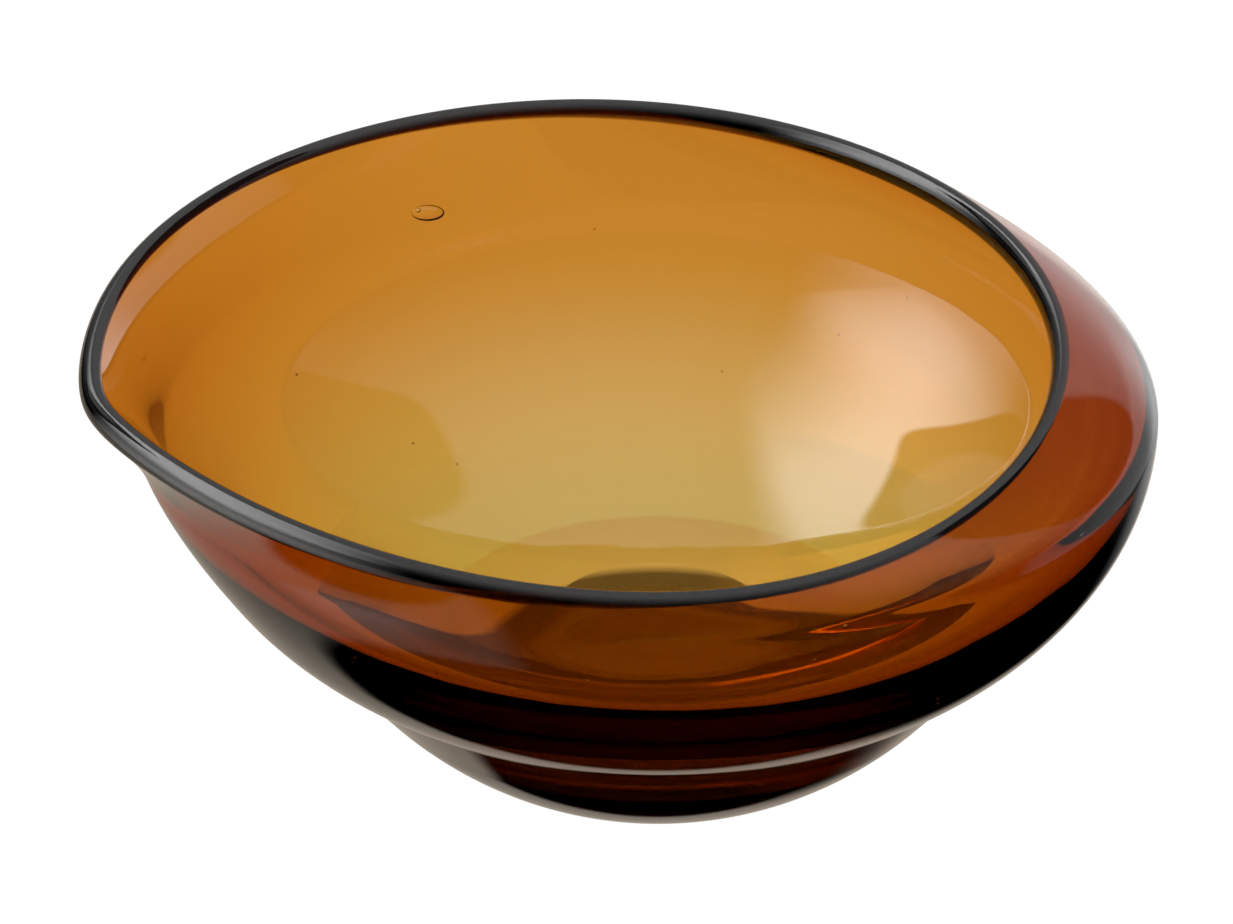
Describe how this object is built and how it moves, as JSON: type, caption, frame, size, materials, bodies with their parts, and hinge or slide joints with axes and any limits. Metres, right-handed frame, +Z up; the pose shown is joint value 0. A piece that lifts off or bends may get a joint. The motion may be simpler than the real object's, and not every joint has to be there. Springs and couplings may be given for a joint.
{
  "type": "art glass bowl",
  "caption": "Heavy hand-blown amber glass bowl with a pinched lip, a tilted rounded rim and a cup foot with a ground flat base.",
  "frame": {"origin": "centre of the ground flat face that the bowl stands on", "axes": "+Z up, out of the bowl's mouth; -X towards the pinched lip; +Y towards the high side of the rim"},
  "size_m": [0.296, 0.2784, 0.1466],
  "materials": {
    "casing_glass": "polished",
    "lining_glass": "polished",
    "rim_glass": "polished",
    "heel_glass": "polished",
    "foot_glass": "polished",
    "ground_glass": "ground"
  },
  "bodies": {
    "root": {"outer_casing": "casing_glass", "inner_lining": "lining_glass", "rim_bead": "rim_glass", "heel": "heel_glass", "foot": "foot_glass", "pontil_disc": "ground_glass"}
  },
  "joints": []
}
